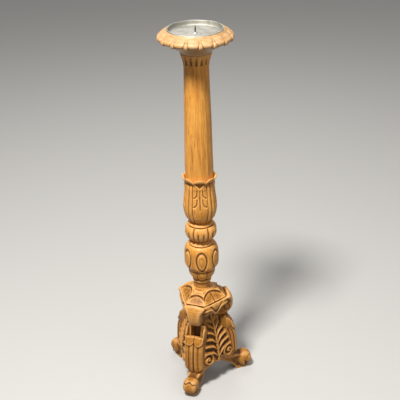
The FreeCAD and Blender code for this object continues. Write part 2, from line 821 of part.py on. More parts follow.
def make_dowels():
    """The dowels inside the stem, and the pins that hold the cap, the legs and the feet."""
    for name, radius, middle, reach in (
        ("dish_dowel", "dish_dowel_radius", DISH_FOOT, size("dish_dowel_up")),
        ("shaft_dowel", "shaft_dowel_radius", SHAFT_FOOT, size("shaft_dowel_up")),
        ("stem_dowel", "stem_dowel_radius", KNOP_FOOT, size("knop_height") + size("stem_dowel_up")),
        ("base_dowel", "base_dowel_radius", CAP_FOOT, size("cap_height") + size("base_dowel_up")),
    ):
        down = size(f"{name}_down")
        pin = dowel(name, size(radius), reach + down, middle - down)
        pin.Label = name
        parts.append(pin)
    radius, half, place = sizes("cap_pin_radius", "cap_pin_half", "cap_pin_place")
    cap_pins = []
    for side, angle in LEG_ANGLES.items():
        cap_pins.append(dowel(f"cap_pin_{side}", radius, half * 2, CAP_FOOT - half, place, angle))
    group("cap_dowels", cap_pins)
    radius, half, corner = sizes("leg_pin_radius", "leg_pin_half", "core_corner")
    leg_pins = []
    for side, angle in LEG_ANGLES.items():
        for spot in ("low", "high"):
            height = CORE_FOOT + size(f"leg_pin_{spot}")
            pin = dowel(f"leg_pin_{side}_{spot}", radius, half * 2, height, corner - half, angle, True)
            leg_pins.append(pin)
    group("leg_dowels", leg_pins)
    radius, place, up, down = sizes("foot_pin_radius", "foot_pin_place", "foot_pin_up", "foot_pin_down")
    foot_pins = []
    for side, angle in LEG_ANGLES.items():
        foot_pins.append(dowel(f"foot_pin_{side}", radius, up + down, CORE_FOOT - down, place, angle))
    group("foot_dowels", foot_pins)


make_pan()
make_pricket()
make_dish()
make_shaft()
make_calyx()
make_knop()
make_baluster()
make_cap()
make_core()
for side_name, side_angle in PANEL_ANGLES.items():
    make_panel(f"leaf_panel_{side_name}", side_angle)
for side_name, side_angle in LEG_ANGLES.items():
    make_leg(f"leg_{side_name}", side_angle)
    make_foot(f"foot_{side_name}", side_angle)
make_dowels()
doc.recompute()

for thing in doc.Objects:
    if "Invalid" in thing.State or "Error" in thing.State:
        raise RuntimeError(f"{thing.Name} did not build: {thing.State}")
    base = getattr(thing, "BaseFeature", None)
    if thing.TypeId in ("PartDesign::Pocket", "PartDesign::SubtractiveLoft") and base is not None:
        if not thing.Shape.Volume < base.Shape.Volume:
            raise RuntimeError(f"{thing.Name} cut nothing")
for piece in parts:
    if piece.Shape.isNull() or not piece.Shape.isValid() or not piece.Shape.Solids:
        raise RuntimeError(f"{piece.Label} has no valid solid")
for piece in parts:
    piece.Shape.exportStep(f"parts/{piece.Label}.step")
    box = piece.Shape.BoundBox
    print(
        f"{piece.Label}: {len(piece.Shape.Solids)} solid(s), {piece.Shape.Volume / 1000:.1f} cm3, "
        f"z {box.ZMin:.1f} to {box.ZMax:.1f} mm"
    )
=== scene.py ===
# %% [markdown]
# A carved floor candlestick, dressed for a portrait. The solid model gives each piece its place and size.
# Here every wooden piece gets its carving, and the wood and the tin get their finish. The shapes are
# worked out in millimetres with numpy and become meshes in metres.

# %% Load the solid model as a fixed frame
import math

import bmesh
import bpy
import numpy as np
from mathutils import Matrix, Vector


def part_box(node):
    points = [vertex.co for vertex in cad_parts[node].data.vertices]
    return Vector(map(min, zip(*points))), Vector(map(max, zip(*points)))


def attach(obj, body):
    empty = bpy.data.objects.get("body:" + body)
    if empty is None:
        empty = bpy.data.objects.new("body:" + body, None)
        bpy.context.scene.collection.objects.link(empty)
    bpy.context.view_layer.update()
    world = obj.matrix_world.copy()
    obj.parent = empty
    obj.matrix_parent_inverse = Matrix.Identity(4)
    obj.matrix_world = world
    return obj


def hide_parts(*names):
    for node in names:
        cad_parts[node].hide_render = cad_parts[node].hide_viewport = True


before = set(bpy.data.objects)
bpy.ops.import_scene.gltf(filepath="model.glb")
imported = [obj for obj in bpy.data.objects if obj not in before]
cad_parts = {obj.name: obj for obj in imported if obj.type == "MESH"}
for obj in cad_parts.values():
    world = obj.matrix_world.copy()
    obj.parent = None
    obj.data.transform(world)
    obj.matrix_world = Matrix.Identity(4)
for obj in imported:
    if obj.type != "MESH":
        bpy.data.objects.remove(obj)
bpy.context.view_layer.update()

import openvdb
from mathutils import Matrix

MM = 0.001
LEG_ANGLES = {"front": -90, "right": 30, "left": 150}
PANEL_ANGLES = {"right": -30, "rear": 90, "left": 210}
CAMERA_AZIMUTH = 20
STEM_TURN = CAMERA_AZIMUTH - 90  # the first leaf and the first boss of the stem face the camera


def span(node):
    """A node's lowest and highest corners, in millimetres."""
    low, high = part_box(node)
    return np.array(low) / MM, np.array(high) / MM


FOOT = {node: span(node)[0][2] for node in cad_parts}
HEAD = {node: span(node)[1][2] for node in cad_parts}
print("nodes:", len(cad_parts), "height in mm:", round(HEAD["pricket"]))

# %% [markdown]
# The camera stands where the photographer stood: at eye height, two metres away, looking down. Its
# place comes from fitting the round pan and dish and the stem's height. It is tilted a little, as a
# camera in the hand is.

# %% Camera
CAMERA_DISTANCE = 2.012
CAMERA_HEIGHT = 1.542
CAMERA_PITCH = math.radians(27.04)
CAMERA_ROLL = math.radians(-1.595)
CAMERA_LENS = 82.64


def place_camera():
    """A camera at the photograph's angle, as the scene's own."""
    around = math.radians(CAMERA_AZIMUTH)
    ahead = np.array([-math.sin(around), math.cos(around), 0]) * math.cos(CAMERA_PITCH)
    ahead[2] = -math.sin(CAMERA_PITCH)
    right = np.array([math.cos(around), math.sin(around), 0])
    up = np.cross(right, ahead)
    rolled_right = right * math.cos(CAMERA_ROLL) + up * math.sin(CAMERA_ROLL)
    rolled_up = up * math.cos(CAMERA_ROLL) - right * math.sin(CAMERA_ROLL)
    data = bpy.data.cameras.new("camera")
    data.lens = CAMERA_LENS
    camera = bpy.data.objects.new("camera", data)
    bpy.context.scene.collection.objects.link(camera)
    place = np.eye(4)
    place[:3, 0] = rolled_right
    place[:3, 1] = rolled_up
    place[:3, 2] = -ahead
    place[:2, 3] = CAMERA_DISTANCE * math.sin(around), -CAMERA_DISTANCE * math.cos(around)
    place[2, 3] = CAMERA_HEIGHT
    camera.matrix_world = Matrix(place)
    bpy.context.scene.camera = camera
    return camera


print("camera at", [round(value, 3) for value in place_camera().matrix_world.translation])

# %% [markdown]
# The studio: a flat pale floor, a strong lamp high in front, to the left of the camera, a weak soft one
# on its right, another behind, and an even grey world. The strong lamp stands high, because the dish
# throws its shade far down the column.

# %% Studio
FLOOR_COLOUR = (0.56, 0.545, 0.51, 1)
FLOOR_BOUNCE = (0.16, 0.15, 0.14, 1)
WORLD_COLOUR = (0.80, 0.80, 0.82, 1)
WORLD_STRENGTH = 0.32
LAMPS = {
    "key": {"place": (-0.16, -1.15, 2.82), "aim": 0.62, "size": 0.46, "power": 105},
    "fill": {"place": (1.75, -0.75, 1.35), "aim": 0.5, "size": 1.4, "power": 6},
    "back": {"place": (-0.6, 1.7, 2.2), "aim": 0.6, "size": 1.0, "power": 12},
}


def aimed(place, target):
    """The matrix of a lamp that stands at one place and shines at another."""
    back = np.array(place, float) - np.array(target, float)
    back = back / np.linalg.norm(back)
    side = np.cross((0, 0, 1), back)
    side = side / np.linalg.norm(side)
    turn = Matrix(np.column_stack([side, np.cross(back, side), back]))
    return Matrix.Translation(place) @ turn.to_4x4()


def make_floor():
    """A pale floor. It throws less light back up than its colour would, as a carpet does."""
    mesh = bpy.data.meshes.new("floor")
    mesh.from_pydata([(-9, -9, 0), (9, -9, 0), (9, 9, 0), (-9, 9, 0)], [], [(0, 1, 2, 3)])
    floor = bpy.data.objects.new("floor", mesh)
    bpy.context.scene.collection.objects.link(floor)
    paint = bpy.data.materials.new("floor_paint")
    paint.use_nodes = True
    tree = paint.node_tree
    path = tree.nodes.new("ShaderNodeLightPath")
    seen = tree.nodes.new("ShaderNodeMath")
    seen.operation = "MAXIMUM"
    tree.links.new(path.outputs["Is Camera Ray"], seen.inputs[0])
    tree.links.new(path.outputs["Is Glossy Ray"], seen.inputs[1])
    colour = tree.nodes.new("ShaderNodeMix")
    colour.data_type = "RGBA"
    colour.inputs[6].default_value = FLOOR_BOUNCE
    colour.inputs[7].default_value = FLOOR_COLOUR
    tree.links.new(seen.outputs[0], colour.inputs[0])
    shader = tree.nodes["Principled BSDF"]
    tree.links.new(colour.outputs[2], shader.inputs["Base Color"])
    shader.inputs["Roughness"].default_value = 0.9
    mesh.materials.append(paint)


def make_lights():
    """An even world and the lamps."""
    scene = bpy.context.scene
    scene.view_settings.view_transform = "Standard"
    scene.world = bpy.data.worlds.new("studio")
    scene.world.use_nodes = True
    sky = scene.world.node_tree.nodes["Background"]
    sky.inputs["Color"].default_value = WORLD_COLOUR
    sky.inputs["Strength"].default_value = WORLD_STRENGTH
    for name, lamp in LAMPS.items():
        light = bpy.data.lights.new(name, "AREA")
        light.energy = lamp["power"]
        light.size = lamp["size"]
        holder = bpy.data.objects.new(name, light)
        scene.collection.objects.link(holder)
        holder.matrix_world = aimed(lamp["place"], (0, 0, lamp["aim"]))


make_floor()
make_lights()
print("lamps:", ", ".join(LAMPS))

# %% [markdown]
# Finishes are node materials. A small class wraps a socket, so that shader maths reads as Python:
# `1 - mask` adds a Math node. Every other node comes from its one method, `node`.

# %% A socket that can be added and multiplied


class Shade:
    """A socket of one finish. Sums and products of it add Math nodes."""

    def __init__(self, tree, socket=None):
        self.tree = tree
        self.socket = socket

    def node(self, kind, settings=None, inputs=None, output=0):
        """Adds a node, sets it up, fills its sockets and gives one of its outputs."""
        made = self.tree.nodes.new(kind)
        for name, value in (settings or {}).items():
            if name == "stops":
                ramp = made.color_ramp.elements
                while len(ramp) < len(value):
                    ramp.new(0.5)
                for element, (position, colour) in zip(ramp, value):
                    element.position = position
                    element.color = (*colour, 1)
            else:
                setattr(made, name, value)
        for name, value in (inputs or {}).items():
            if isinstance(value, Shade):
                self.tree.links.new(value.socket, made.inputs[name])
            else:
                made.inputs[name].default_value = value
        return Shade(self.tree, made.outputs[output])

    def math(self, operation, first, second=0.0):
        """A Math node on two values."""
        return self.node("ShaderNodeMath", {"operation": operation}, {0: first, 1: second})

    def __add__(self, other):
        return self.math("ADD", self, other)

    __radd__ = __add__

    def __sub__(self, other):
        return self.math("SUBTRACT", self, other)

    def __rsub__(self, other):
        return self.math("SUBTRACT", other, self)

    def __mul__(self, other):
        return self.math("MULTIPLY", self, other)

    __rmul__ = __mul__

    def between(self, low, high):
        """0 below low, 1 above high and a smooth rise between them."""
        rise = {"Value": self, "From Min": low, "From Max": high}
        return self.node("ShaderNodeMapRange", {"interpolation_type": "SMOOTHSTEP"}, rise)

    def mixed(self, first, second):
        """The first colour where this value is 0 and the second where it is 1."""
        return self.node("ShaderNodeMix", {"data_type": "RGBA"}, {0: self, 6: first, 7: second}, 2)

    def noise(self, scale, detail=2.0, roughness=0.5, distortion=0.0):
        """Noise read at this vector."""
        inputs = {"Vector": self, "Scale": scale, "Detail": detail, "Roughness": roughness}
        return self.node("ShaderNodeTexNoise", None, {**inputs, "Distortion": distortion})

    def stretched(self, factors):
        """This vector with each part multiplied by its factor."""
        return self.node("ShaderNodeVectorMath", {"operation": "MULTIPLY"}, {0: self, 1: factors})


def new_finish(name):
    """A node material: the material, a Shade to add nodes with, and its shader."""
    material = bpy.data.materials.new(name)
    material.use_nodes = True
    return material, Shade(material.node_tree), material.node_tree.nodes["Principled BSDF"]


def feed(shader, links, constants):
    """Joins varying values to the shader's sockets and sets the even ones."""
    for name, value in links.items():
        value.tree.links.new(value.socket, shader.inputs[name])
    for name, value in constants.items():
        shader.inputs[name].default_value = value


def bumped(height, distance, strength):
    """A normal that follows a height, for dents and ridges too small to model."""
    inputs = {"Height": height, "Distance": distance, "Strength": strength}
    return height.node("ShaderNodeBump", None, inputs, "Normal")


print("finishes can be written as sums and products")

# %% [markdown]
# The wood is stained honey brown, wiped with a dark glaze, rubbed pale along the ridges and waxed. The
# hollows get the glaze colour, partly as glaze and partly as painted shade. Each carved mesh carries an
# attribute, `hollow`, that says how far a spot lies under or over its surroundings, so the glaze, the
# painted shade and the rubbing follow the carving. Grain, pores and blotches come from noise that is
# stretched along the grain. The dish is the palest piece. The base is darker than the stem, partly a
# darker stain and partly painted shade, and the panels carry the most painted shade.

# %% Waxed wood
# painted shade: this dark colour fills the hollows, partly as glaze and partly as painted shade, and also
# darkens the pores
GLAZE_AND_SHADE = (0.050, 0.017, 0.004, 1)
RUBBED = (0.82, 0.44, 0.145, 1)
HONEY = [
    (0.30, (0.36, 0.122, 0.018)),
    (0.44, (0.63, 0.255, 0.040)),
    (0.58, (0.84, 0.385, 0.072)),
    (0.72, (0.92, 0.500, 0.120)),
]
# darker than HONEY, partly a darker stain and partly painted shade for the base, which stands further
# from the lamp
CHESTNUT_AND_SHADE = [
    (0.30, (0.22, 0.066, 0.008)),
    (0.44, (0.38, 0.140, 0.017)),
    (0.58, (0.54, 0.230, 0.033)),
    (0.72, (0.68, 0.335, 0.064)),
]
AMBER = [
    (0.30, (0.27, 0.087, 0.012)),
    (0.44, (0.47, 0.181, 0.025)),
    (0.58, (0.635, 0.282, 0.047)),
    (0.72, (0.74, 0.386, 0.084)),
]
STRAW = [
    (0.30, (0.356, 0.160, 0.052)),
    (0.44, (0.466, 0.255, 0.099)),
    (0.58, (0.546, 0.344, 0.169)),
    (0.72, (0.589, 0.409, 0.236)),
]
BARE = [(0.3, (0.12, 0.055, 0.018)), (0.7, (0.26, 0.14, 0.055))]


def wood_finish(name, tones, along=(1, 1, 0.06), glaze_and_shade=0.9, rub=0.65, coat=0.15):
    """Stained and waxed wood. Along holds the stretch of the grain on each axis. The glaze darkens the
    pores, and the hollows with glaze and painted shade.
    """
    material, shade, shader = new_finish(name)
    place = shade.node("ShaderNodeTexCoord", output="Object")
    grain = place.stretched(along)
    fibres = grain.noise(520, 5, 0.62, 0.4)
    bands = grain.noise(90, 4, 0.6, 1.6)
    blotches = place.noise(16, 3, 0.5)
    flecks = grain.noise(560, 3, 0.6).between(0.54, 0.66)
    tone = bands * 0.55 + fibres * 0.25 + blotches * 0.2
    colour = tone.node("ShaderNodeValToRGB", {"stops": tones}, {"Fac": tone})
    hollow = shade.node("ShaderNodeAttribute", {"attribute_name": "hollow"}, output="Fac")
    uneven = place.noise(140, 4, 0.6).between(0.25, 0.75) * 0.45 + 0.6
    # painted shade: the hollows turn towards the dark glaze colour, partly glaze and partly painted shade
    sunk_glaze_and_shade = hollow.between(0.04, 0.75) * uneven * glaze_and_shade
    proud = (hollow * -1).between(0.04, 0.70) * uneven * rub
    colour = (flecks * 0.42 * glaze_and_shade).mixed(colour, GLAZE_AND_SHADE)
    colour = proud.mixed(colour, RUBBED)
    colour = sunk_glaze_and_shade.mixed(colour, GLAZE_AND_SHADE)
    roughness = 0.38 + fibres * 0.16 + sunk_glaze_and_shade * 0.22
    relief = fibres * 0.6 - flecks * 0.5
    feed(
        shader,
        {"Base Color": colour, "Roughness": roughness, "Normal": bumped(relief, 0.0002, 0.5)},
        {"IOR": 1.45, "Specular IOR Level": 0.35, "Coat Weight": coat, "Coat Roughness": 0.28},
    )
    return material


CARVED = wood_finish("waxed_oak", HONEY, coat=0.08)
CALYX_WOOD = wood_finish("rubbed_oak", HONEY, glaze_and_shade=0.7, rub=0.8, coat=0.05)
CAP_WOOD = wood_finish("amber_oak", AMBER, glaze_and_shade=1.0, rub=0.8, coat=0.08)
# the base's darker tone is partly painted shade
BASE_WOOD = wood_finish("dark_oak", CHESTNUT_AND_SHADE, coat=0.06)
# painted shade: the panels under the cap get the strongest glaze colour and little pale rubbing
PANEL_WOOD = wood_finish("shaded_oak", CHESTNUT_AND_SHADE, glaze_and_shade=1.15, rub=0.45, coat=0.0)
DISH_WOOD = wood_finish("worn_dish", STRAW, (0.08, 1, 1), 0.6, 0.2)
BARE_WOOD = wood_finish("inner_wood", BARE, glaze_and_shade=0.3)
FINISHES = [CARVED, CALYX_WOOD, CAP_WOOD, BASE_WOOD, PANEL_WOOD, DISH_WOOD, BARE_WOOD]
print("wood finishes:", ", ".join(finish.name for finish in FINISHES))

# %% [markdown]
# The pan is tinned sheet, dull grey with soft swirls from wiping. The pricket is dark forged iron, and
# the solder round its foot is brighter than the pan.

# %% Metals


def metal_finish(name, dark, light, roughness, dents):
    """Dull sheet or forged metal, cloudy, with a rough or smooth surface."""
    material, shade, shader = new_finish(name)
    place = shade.node("ShaderNodeTexCoord", output="Object")
    clouds = place.noise(38, 4, 0.6, 0.8)
    specks = place.noise(420, 3, 0.6)
    colour = clouds.between(0.35, 0.68).mixed((*dark, 1), (*light, 1))
    height = place.noise(60, 2, 0.5) * 0.8 + specks * 0.2
    roughness = roughness + specks * 0.18
    links = {"Base Color": colour, "Roughness": roughness, "Normal": bumped(height, dents, 0.6)}
    feed(shader, links, {"Metallic": 1.0})
    return material


TIN = metal_finish("tin", (0.38, 0.365, 0.315), (0.53, 0.51, 0.45), 0.60, 0.0003)
IRON = metal_finish("iron", (0.03, 0.028, 0.026), (0.09, 0.085, 0.08), 0.42, 0.0005)
SOLDER = metal_finish("solder", (0.62, 0.61, 0.57), (0.82, 0.81, 0.77), 0.36, 0.0003)
print("metal finishes:", TIN.name, IRON.name, SOLDER.name)

# %% [markdown]
# Most of the stem is turned on a lathe and then carved. An outline of a few points, joined by smooth
# curves and sharp at the points marked as corners, is turned about the axis. A function then moves
# each ring in or out for the carving. The hollow attribute comes from comparing the surface with two
# smoothed copies of itself.

# %% Turning and carving helpers
CORNER = "corner"
WELD = 0.00001  # points nearer than this become one, in metres
BORE_PLAY = 0.1  # room round a dowel
BORE_SPARE = 0.8  # room past its end


def smooth_run(points, step):
    """Points about step apart on a smooth curve through the given ones."""
    points = np.array(points, float)
    chords = np.diff(points, axis=0)
    lengths = np.linalg.norm(chords, axis=1)
    slopes = chords / lengths[:, None]
    inner = (points[2:] - points[:-2]) / (lengths[:-1] + lengths[1:])[:, None]
    first = slopes[:1] if len(points) == 2 else slopes[:1] * 1.5 - inner[:1] * 0.5
    last = slopes[-1:] if len(points) == 2 else slopes[-1:] * 1.5 - inner[-1:] * 0.5
    tangents = np.concatenate([first, inner, last])
    pieces = []
    for start, end, leave, arrive, length in zip(points, points[1:], tangents, tangents[1:], lengths):
        t = np.linspace(0, 1, max(2, int(round(length / step)) + 1))[:-1, None]
        pieces.append(
            start * (2 * t**3 - 3 * t**2 + 1)
            + end * (3 * t**2 - 2 * t**3)
            + leave * length * (t**3 - 2 * t**2 + t)
            + arrive * length * (t**3 - t**2)
        )
    return np.concatenate(pieces)


def outline(points, step):
    """A profile of (radius, height) points. It is smooth except at points marked CORNER."""
    runs = [[points[0][:2]]]
    for point in points[1:]:
        runs[-1].append(point[:2])
        if len(point) > 2:
            runs.append([point[:2]])
    pieces = [smooth_run(run, step) for run in runs if len(run) > 1]
    return np.concatenate(pieces + [[points[-1][:2]]])


def grid_faces(rows, columns, closed):
    """Quads of a grid of points. A closed grid joins its last column to its first."""
    index = np.arange(rows * columns).reshape(rows, columns)
    right = np.roll(index, -1, axis=1)
    if not closed:
        index, right = index[:, :-1], right[:, :-1]
    return np.stack([index[:-1], right[:-1], right[1:], index[1:]], axis=-1).reshape(-1, 4)


def turned(profile, around, shape=None):
    """A profile turned about the axis: points and quads. Shape moves (angle, radius, height)."""
    angle = np.linspace(0, 2 * np.pi, around, endpoint=False)[None, :]
    radius = np.repeat(profile[:, :1], around, axis=1)
    height = np.repeat(profile[:, 1:], around, axis=1)
    if shape is not None:
        radius, height = shape(angle, radius, height)
    points = np.stack([radius * np.cos(angle), radius * np.sin(angle), height], axis=-1)
    return points.reshape(-1, 3), grid_faces(len(profile), around, True)


def store_hollows(mesh, rounds):
    """Keeps how far each point lies under two smoothed copies of the surface, in millimetres."""
    count = len(mesh.vertices)
    places = np.empty(count * 3, np.float32)
    mesh.vertices.foreach_get("co", places)
    places = places.reshape(-1, 3)
    normals = np.empty(count * 3, np.float32)
    mesh.vertex_normals.foreach_get("vector", normals)
    ends = np.empty(len(mesh.edges) * 2, np.int32)
    mesh.edges.foreach_get("vertices", ends)
    first, second = ends.reshape(-1, 2).T
    degree = np.bincount(first, minlength=count) + np.bincount(second, minlength=count)
    smooth = places.astype(float)
    depth = np.zeros(count)
    for weight, more in ((1, rounds), (0.5, rounds * 3)):
        for _ in range(more):
            sums = []
            for values in smooth.T:
                sum_ahead = np.bincount(first, values[second], count)
                sums.append(sum_ahead + np.bincount(second, values[first], count))
            smooth = (smooth + np.stack(sums, axis=1) / degree[:, None]) / 2
        below = ((smooth - places) * normals.reshape(-1, 3)).sum(axis=1) / MM
        depth = depth + weight * (below - np.median(below))
    hollow = mesh.attributes.new("hollow", "FLOAT", "POINT")
    hollow.data.foreach_set("value", depth.astype(np.float32))


def make_piece(name, points, faces, finish, nodes, body="stand", rounds=24):
    """A smooth mesh that stands in for CAD nodes and rides on their body. Points are in millimetres."""
    mesh = bpy.data.meshes.new(name)
    mesh.vertices.add(len(points))
    mesh.vertices.foreach_set("co", (np.asarray(points) * MM).astype(np.float32).ravel())
    mesh.loops.add(faces.size)
    mesh.loops.foreach_set("vertex_index", faces.astype(np.int32).ravel())
    mesh.polygons.add(len(faces))
    mesh.polygons.foreach_set("loop_start", np.arange(0, faces.size, faces.shape[1], dtype=np.int32))
    mesh.update(calc_edges=True)
    work = bmesh.new()
    work.from_mesh(mesh)
    bmesh.ops.remove_doubles(work, verts=work.verts, dist=WELD)
    bmesh.ops.recalc_face_normals(work, faces=work.faces)
    work.to_mesh(mesh)
    work.free()
    mesh.shade_smooth()
    store_hollows(mesh, rounds)
    mesh.materials.append(finish)
    piece = bpy.data.objects.new(name, mesh)
    bpy.context.scene.collection.objects.link(piece)
    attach(piece, body)
    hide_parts(*nodes)
    triangles = sum(len(face.vertices) - 2 for face in mesh.polygons)
    print(f"{name}: {triangles} triangles")


def bell(distance, width):
    """1 at distance 0, falling smoothly to almost nothing over twice the width."""
    return np.exp(-((distance / width) ** 2))


def rise(value, low, high):
    """0 below low, 1 above high, smooth between. It also falls, if low is above high."""
    t = np.clip((value - low) / (high - low), 0, 1)
    return t * t * (3 - 2 * t)


def from_nearest(angle, count):
    """The angle, in degrees, from the nearest of count equal steps that start at STEM_TURN."""
    step = 360 / count
    return (np.degrees(angle) - STEM_TURN + step / 2) % step - step / 2


def size_at(table, place):
    """A size that changes along a piece, from a table of a few places."""
    return np.interp(place, list(table), list(table.values()))


def half_width(node):
    """Half of a node's size along x, in millimetres."""
    low, high = span(node)
    return (high[0] - low[0]) / 2


def bored_foot(dowel, height, radius, step):
    """The underside of a turned piece, from the end of a dowel's bore out to a radius."""
    bore = half_width(dowel) + BORE_PLAY
    end = HEAD[dowel] + BORE_SPARE
    corners = [(0, end, CORNER), (bore, end, CORNER), (bore, height, CORNER), (radius, height)]
    return outline(corners, step)[:-1]


def bored_head(dowel, height, radius, step):
    """The top of a turned piece, from a radius in to the end of a dowel's bore."""
    bore = half_width(dowel) + BORE_PLAY
    end = FOOT[dowel] - BORE_SPARE
    corners = [(radius, height, CORNER), (bore, height, CORNER), (bore, end, CORNER), (0, end)]
    return outline(corners, step)


print("helpers are ready")

# %% [markdown]
# The dish was turned from one thick board. Its rim is a ring of broad lobes with a narrow dart between
# each two. A dart widens downwards, its tip hangs a little below the rim, and grooves run along both
# its sides.

# %% Dish
DISH_LOBES = 16
DISH_NECK = 35.5  # the radius where the dish meets the column
POCKET_RADIUS = 6  # room for the rivet under the pan
DISH_TURN = math.radians(7.4)  # how far the darts are turned from the stem's leaves
DART_WIDTH = 3.3  # degrees, half the dart's width at its lower end
RIM_TOP = HEAD["dish"] - 3
RIM_EDGE = FOOT["dish"] + 34


def carve_rim(angle, radius, height):
    """Lobes and darts on the rim."""
    turn = np.abs(from_nearest(angle - DISH_TURN, DISH_LOBES))
    down = rise(height, RIM_TOP, RIM_EDGE)
    rim = rise(radius, 70, 75) * rise(height, RIM_EDGE - 9, RIM_EDGE)
    side = turn - DART_WIDTH * (0.15 + 0.85 * down)
    dart = rise(side, 0.3, -0.7)
    groove = bell(side - 0.5, 0.8) * (0.6 + 1.3 * down)
    crown = 1.5 * np.sqrt(np.clip(1 - ((turn - 180 / DISH_LOBES) / 8.3) ** 2, 0, 1))
    out = (crown - 0.6) * (1 - dart) + (0.2 + 1.5 * down) * dart - groove
    low = rise(height, RIM_EDGE + 9, RIM_EDGE - 1) * rise(radius, 76, 82)
    hang = (2.8 * dart + 0.5 * crown * (1 - dart)) * low
    return radius + out * rim, height - hang + 0.5 * (crown - 1) * rim * (1 - down)


def make_dish():
    """The lobed dish with a recess for the pan."""
    foot, head = FOOT["dish"], HEAD["dish"]
    recess = half_width("drip_pan") - 1.8
    floor = FOOT["drip_pan"]
    pocket = floor - 3
    under = bored_foot("dish_dowel", foot, DISH_NECK, 3)
    rim = outline(
        [
            (DISH_NECK, foot),
            (39, foot + 5),
            (46, foot + 11),
            (57, foot + 17.5),
            (69, foot + 24.5),
            (79, foot + 31, CORNER),
            (84.4, foot + 33.5),
            (86.8, foot + 37),
            (86, foot + 41),
            (82, foot + 44.5),
            (76.8, foot + 48.6),
            (72.8, foot + 50.6),
            (69.6, foot + 52.4),
            (recess + 3.2, head + 2),
            (recess + 2.2, head + 1.4, CORNER),
            (recess + 0.4, head - 0.4, CORNER),
        ],
        0.95,
    )
    inside = outline(
        [
            (recess, head - 1.2, CORNER),
            (recess, floor, CORNER),
            (POCKET_RADIUS, floor, CORNER),
            (POCKET_RADIUS, pocket, CORNER),
            (0, pocket),
        ],
        3,
    )
    points, faces = turned(np.concatenate([under, rim, inside]), DISH_LOBES * 32, carve_rim)
    make_piece("carved_dish", points, faces, DISH_WOOD, ["dish"], rounds=16)


make_dish()

# %% [markdown]
# The drip pan is spun from tinned sheet with a rolled rim. It was made and used by hand, so the rim is
# a little wavy and the floor is not quite flat. The pricket is riveted through the floor, with a blob
# of solder round its foot.

# %% Pan and pricket
PAN_FLOOR = FOOT["drip_pan"]
PAN_TOP = HEAD["drip_pan"]
SPIKE_HOLE = 2.5
WIRE = 1.7  # the radius of the rolled rim


def wave_pan(angle, radius, height):
    """Makes the rim wavy and the floor uneven."""
    up = rise(height, PAN_FLOOR + 3, PAN_TOP)
    wobble = np.sin(3 * angle + 0.6) + 0.6 * np.sin(5 * angle + 2.0)
    lift = 0.28 * np.sin(2 * angle + 1.0) + 0.22 * np.sin(7 * angle)
    floor = 0.22 * np.sin(radius / 9 + 2 * angle) * rise(radius, 8, 16) * rise(radius, 60, 52)
    floor = (floor + 0.22) * (1 - up) * rise(radius, 6, 12)
    return radius + 0.12 * wobble * up, height + lift * up + floor


def make_pan():
    """The tin pan: a thin shell with a rolled rim."""
    low, top = PAN_FLOOR, PAN_TOP
    shell = [
        (SPIKE_HOLE, low, CORNER),
        (58.6, low, CORNER),
        (62.2, low + 1.4),
        (63.4, low + 4.8),
        (63.4, top - 4.2, CORNER),
    ]
    turns = np.radians(range(-60, 230, 29))
    roll = [(63.9 + WIRE * math.cos(turn), top - 1.9 + WIRE * math.sin(turn)) for turn in turns]
    lining = [
        (62.3, top - 4, CORNER),
        (62.2, low + 5),
        (61.2, low + 2.4),
        (58.4, low + 1.2, CORNER),
        (SPIKE_HOLE, low + 1.2, CORNER),
    ]
    profile = outline(shell + roll + lining, 1.1)
    points, faces = turned(np.concatenate([profile, profile[:1]]), 240, wave_pan)
    make_piece("tin_pan", points, faces, TIN, ["drip_pan"], "pan", 8)


def smear(angle, radius, height):
    """Makes the foot of the solder uneven."""
    return radius + 0.5 * np.sin(3 * angle) * rise(radius, 3, 7), height


def make_pricket():
    """The iron spike with its rivet head, and the solder round its foot."""
    low = FOOT["pricket"]
    top = HEAD["pricket"]
    rivet = [(0, low, CORNER), (3.6, low), (5, low + 1), (4.8, low + 1.9, CORNER), (2.4, low + 2, CORNER)]
    shank = [(2.4, low + 6.2), (1.8, low + 6.4), (1.4, top - 6), (0.9, top - 2.4)]
    point = [(0.3, top - 0.1, CORNER), (0, top)]
    points, faces = turned(outline(rivet + shank + point, 0.35), 40)
    make_piece("iron_pricket", points, faces, IRON, ["pricket"], "pan", 4)
    low, top = FOOT["pricket_collar"], HEAD["pricket_collar"]
    mound = [(6.9, low), (6.6, low + 0.7), (5.0, low + 1.5), (3.6, top - 0.6)]
    hole = [(SPIKE_HOLE, top, CORNER), (SPIKE_HOLE, low)]
    points, faces = turned(outline([(SPIKE_HOLE, low, CORNER)] + mound + hole, 0.4), 60, smear)
    make_piece("solder_collar", points, faces, SOLDER, ["pricket_collar"], "pan", 4)


make_pan()
make_pricket()

# %% [markdown]
# The column is turned with a taper and a flare, then fluted by hand with a gouge. The flutes are wide
# and shallow. They cut deeper where the flare starts and end there in short slots.

# %% Column
FLUTES = 15
SHAFT_FOOT = FOOT["column_shaft"]
SHAFT_HEAD = HEAD["column_shaft"]
SHAFT_END = 33.8  # the radius in the cup of leaves
FLARE_END = 36.6  # the radius under the dish


def flute(angle, radius, height):
    """Flutes between the leaf tips and the flare."""
    turn = np.abs(from_nearest(angle, FLUTES)) / (360 / FLUTES)
    ends = rise(height, SHAFT_FOOT + 10, SHAFT_FOOT + 20) * rise(height, SHAFT_HEAD + 1, SHAFT_HEAD - 3)
    high = rise(height, SHAFT_HEAD - 29, SHAFT_HEAD - 20)
    deep = 0.6 + 2.0 * high
    hollow = np.clip(1 - (turn / (0.45 - 0.15 * high)) ** 2, 0, 1) ** 0.7
    wander = 0.12 * np.sin(height / 23 + 5 * angle) + 0.08 * np.sin(height / 9 + 11 * angle)
    outside = rise(radius, 22, 24)
    return radius + outside * (0.45 + wander - ends * deep * hollow), height


